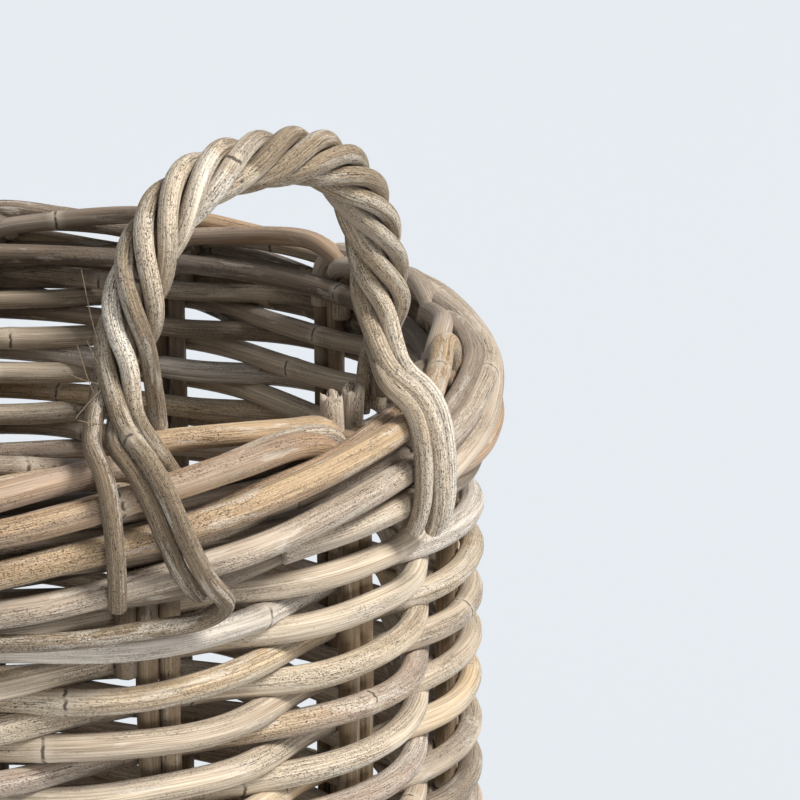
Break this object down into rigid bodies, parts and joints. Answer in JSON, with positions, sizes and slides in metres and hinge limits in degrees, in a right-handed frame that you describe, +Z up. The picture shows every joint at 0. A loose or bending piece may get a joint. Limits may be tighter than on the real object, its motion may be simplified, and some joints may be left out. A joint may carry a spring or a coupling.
{
  "type": "laundry basket",
  "caption": "Round open laundry basket of woven rattan cane with upright stakes, a rolled border and two fixed twisted-cane handles.",
  "frame": {"origin": "centre of the basket at floor level", "axes": "+Z up, the two handles stand over +X and -X, +Y is along a handle's width"},
  "size_m": [0.4058, 0.4044, 0.4893],
  "materials": {
    "base_cane": "matt, weathered cane",
    "stake_cane": "matt, weathered cane",
    "weaver_cane": "matt, mottled grey-brown cane",
    "border_cane": "matt, mottled grey-brown cane",
    "handle_cane": "matt, pale peeled cane"
  },
  "bodies": {
    "root": {"base_sticks_lower": "base_cane", "base_sticks_upper": "base_cane", "base_weave_under": "base_cane", "base_weave_over": "base_cane", "foot_ring": "base_cane", "bottom_wale_outer": "base_cane", "bottom_wale_inner": "base_cane", "stake_pair_1": "stake_cane", "stake_pair_2": "stake_cane", "stake_pair_3": "stake_cane", "stake_pair_4": "stake_cane", "stake_pair_5": "stake_cane", "stake_pair_6": "stake_cane", "stake_pair_7": "stake_cane", "stake_pair_8": "stake_cane", "stake_pair_9": "stake_cane", "stake_pair_10": "stake_cane", "stake_pair_11": "stake_cane", "stake_pair_12": "stake_cane", "stake_pair_13": "stake_cane", "stake_pair_14": "stake_cane", "inserted_sticks": "stake_cane", "weaver_1": "weaver_cane", "weaver_2": "weaver_cane", "weaver_3": "weaver_cane", "weaver_4": "weaver_cane", "weaver_5": "weaver_cane", "weaver_6": "weaver_cane", "weaver_7": "weaver_cane", "weaver_8": "weaver_cane", "weaver_9": "weaver_cane", "weaver_10": "weaver_cane", "weaver_11": "weaver_cane", "weaver_12": "weaver_cane", "upper_weaver_1": "weaver_cane", "upper_weaver_2": "weaver_cane", "border_rods_1": "border_cane", "border_rods_2": "border_cane", "border_rods_3": "border_cane", "border_rods_4": "border_cane", "border_rods_5": "border_cane", "border_rods_6": "border_cane", "border_rods_7": "border_cane", "border_top_ring": "border_cane", "border_inner_ring": "border_cane", "handle_right_core": "handle_cane", "handle_left_core": "handle_cane", "handle_right_strand_1": "handle_cane", "handle_right_strand_2": "handle_cane", "handle_right_strand_3": "handle_cane", "handle_right_strand_4": "handle_cane", "handle_right_strand_5": "handle_cane", "handle_left_strand_1": "handle_cane", "handle_left_strand_2": "handle_cane", "handle_left_strand_3": "handle_cane", "handle_left_strand_4": "handle_cane", "handle_left_strand_5": "handle_cane"}
  },
  "joints": []
}
